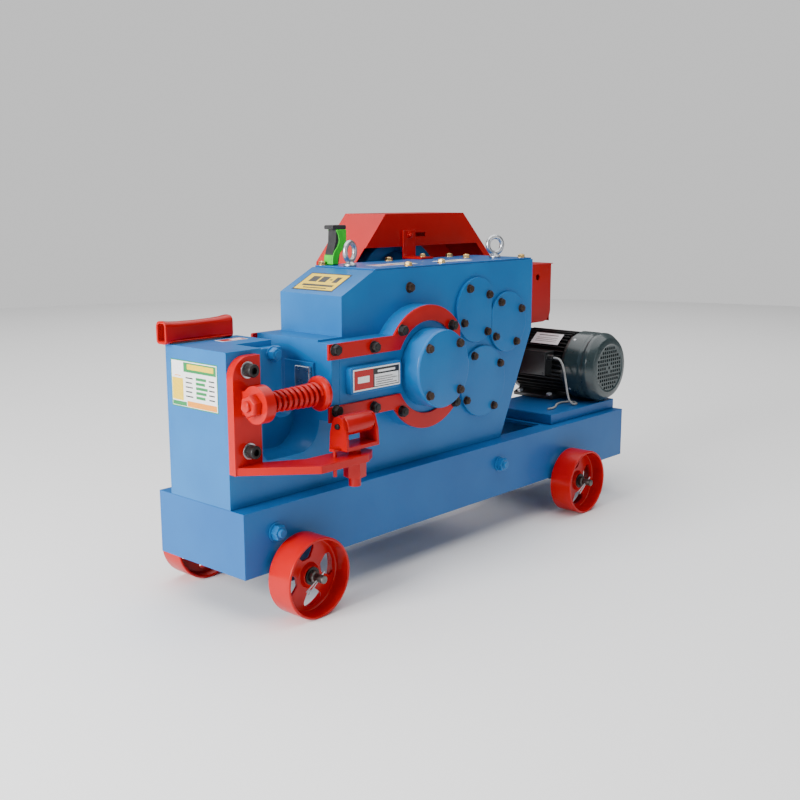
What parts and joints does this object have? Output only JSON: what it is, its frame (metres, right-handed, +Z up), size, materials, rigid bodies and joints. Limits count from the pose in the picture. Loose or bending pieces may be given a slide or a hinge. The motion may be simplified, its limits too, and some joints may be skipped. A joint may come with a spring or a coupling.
{
  "type": "rebar cutter",
  "caption": "Wheeled electric rebar cutter: cast gear housing with an open throat, sliding ram and blades, sprung bar press, roller rest, belt guard and motor on a channel frame.",
  "frame": {"origin": "on the floor, under the middle of the machine's overall length and width", "axes": "X along the frame from the throat to the motor, Y from the operator's side to the belt guard, Z up"},
  "size_m": [1.497, 0.497, 0.812],
  "materials": {
    "blue_paint": "medium blue machine enamel with a soft sheen",
    "red_paint": "bright red gloss enamel",
    "machined_steel": "bare machined steel, or zinc plated on the eyes and nuts",
    "dark_steel": "black oxide steel",
    "bronze": "plain turned bronze",
    "black_motor_paint": "satin black enamel on a finned casting",
    "grey_green_paint": "dark grey-green enamel on pressed steel",
    "black_plastic": "moulded black plastic",
    "green_rubber": "bright green grip with black inserts",
    "belt_rubber": "matt black belt rubber",
    "grey_cable": "light grey cable sheath"
  },
  "bodies": {
    "machine": {"base_frame": "blue_paint", "belt_guard": "red_paint", "clamp_bracket": "red_paint", "cover_flange": "red_paint", "crank_cap": "blue_paint", "fan_cover": "grey_green_paint", "fixed_blade": "machined_steel", "front_crank_bush": "bronze", "front_input_bearing": "dark_steel", "gearbox_housing": "blue_paint", "guard_stay": "red_paint", "hand_grip": "green_rubber", "handle": "red_paint", "left_axle": "dark_steel", "left_lifting_eye": "machined_steel", "left_tie_bolt": "machined_steel", "lower_bracket_bolt": "dark_steel", "lower_shaft_cover": "blue_paint", "motor_frame": "black_motor_paint", "motor_lead": "grey_cable", "motor_rail": "blue_paint", "outer_shaft_cover": "blue_paint", "press_spring": "red_paint", "ram_cover": "blue_paint", "rear_bearing_cover": "blue_paint", "rear_crank_bush": "bronze", "rear_input_bearing": "dark_steel", "right_axle": "dark_steel", "right_lifting_eye": "machined_steel", "right_tie_bolt": "machined_steel", "terminal_box": "black_motor_paint", "top_cover": "blue_paint", "upper_bracket_bolt": "dark_steel", "upper_shaft_cover": "blue_paint", "v_belt": "belt_rubber"},
    "input_drive": {"input_shaft": "machined_steel", "flywheel": "blue_paint"},
    "second_drive": {"second_shaft": "machined_steel", "second_gear": "machined_steel"},
    "third_drive": {"third_shaft": "machined_steel", "third_gear": "machined_steel"},
    "crank_drive": {"crankshaft": "machined_steel", "bull_gear": "machined_steel"},
    "motor_drive": {"motor_rotor": "machined_steel", "motor_fan": "black_plastic", "motor_pulley": "dark_steel"},
    "ram_slide": {"ram": "machined_steel", "ram_pin": "machined_steel", "moving_blade": "machined_steel"},
    "rod": {"connecting_rod": "machined_steel"},
    "press": {"press_rod": "red_paint", "press_nut": "red_paint", "press_disc": "red_paint"},
    "fork": {"roller_fork": "red_paint", "roller_pin": "machined_steel"},
    "roller": {"roller": "red_paint"},
    "front_left_wheel": {"front_left_wheel": "red_paint"},
    "rear_left_wheel": {"rear_left_wheel": "red_paint"},
    "front_right_wheel": {"front_right_wheel": "red_paint"},
    "rear_right_wheel": {"rear_right_wheel": "red_paint"}
  },
  "joints": [
    {"name": "flywheel_spin", "type": "hinge", "parent": "machine", "child": "input_drive", "pos_m": [0.04942, -0.1565, 0.58081], "axis": [0, 1, 0], "continuous": true},
    {"name": "second_shaft_spin", "type": "hinge", "parent": "machine", "child": "second_drive", "pos_m": [0.17729, -0.1565, 0.54074], "axis": [0, 1, 0], "continuous": true},
    {"name": "third_shaft_spin", "type": "hinge", "parent": "machine", "child": "third_drive", "pos_m": [0.07591, -0.1565, 0.3981], "axis": [0, 1, 0], "continuous": true},
    {"name": "crank_spin", "type": "hinge", "parent": "machine", "child": "crank_drive", "pos_m": [-0.1815, -0.1565, 0.469], "axis": [0, 1, 0], "continuous": true},
    {"name": "motor_spin", "type": "hinge", "parent": "machine", "child": "motor_drive", "pos_m": [0.6485, -0.1565, 0.365], "axis": [0, 1, 0], "continuous": true},
    {"name": "ram_travel", "type": "slide", "parent": "machine", "child": "ram_slide", "axis": [-1, 0, 0], "range_m": [0, 0.034]},
    {"name": "rod_swing", "type": "hinge", "parent": "ram_slide", "child": "rod", "pos_m": [-0.3255, -0.1565, 0.469], "axis": [0, 1, 0], "range_deg": [-6, 6]},
    {"name": "press_travel", "type": "slide", "parent": "machine", "child": "press", "axis": [-1, 0, 0], "range_m": [0, 0.045], "stiffness_N_per_m": 2500, "springref_m": -0.02, "deforming": ["press_spring"]},
    {"name": "fork_height", "type": "slide", "parent": "machine", "child": "fork", "axis": [0, 0, 1], "range_m": [-0.01, 0.03]},
    {"name": "roller_spin", "type": "hinge", "parent": "fork", "child": "roller", "pos_m": [-0.4765, -0.2125, 0.39], "axis": [1, 0, 0], "continuous": true},
    {"name": "front_left_wheel_spin", "type": "hinge", "parent": "machine", "child": "front_left_wheel", "pos_m": [-0.5975, -0.1985, 0.086], "axis": [0, 1, 0], "continuous": true},
    {"name": "rear_left_wheel_spin", "type": "hinge", "parent": "machine", "child": "rear_left_wheel", "pos_m": [-0.5975, 0.1655, 0.086], "axis": [0, 1, 0], "continuous": true},
    {"name": "front_right_wheel_spin", "type": "hinge", "parent": "machine", "child": "front_right_wheel", "pos_m": [0.4095, -0.1985, 0.086], "axis": [0, 1, 0], "continuous": true},
    {"name": "rear_right_wheel_spin", "type": "hinge", "parent": "machine", "child": "rear_right_wheel", "pos_m": [0.4095, 0.1655, 0.086], "axis": [0, 1, 0], "continuous": true}
  ],
  "couplings": [
    {"joint": "second_shaft_spin", "follows": "flywheel_spin", "ratio": -0.36735},
    {"joint": "third_shaft_spin", "follows": "flywheel_spin", "ratio": 0.13686},
    {"joint": "crank_spin", "follows": "flywheel_spin", "ratio": -0.050531},
    {"joint": "motor_spin", "follows": "flywheel_spin", "ratio": 3.814}
  ]
}
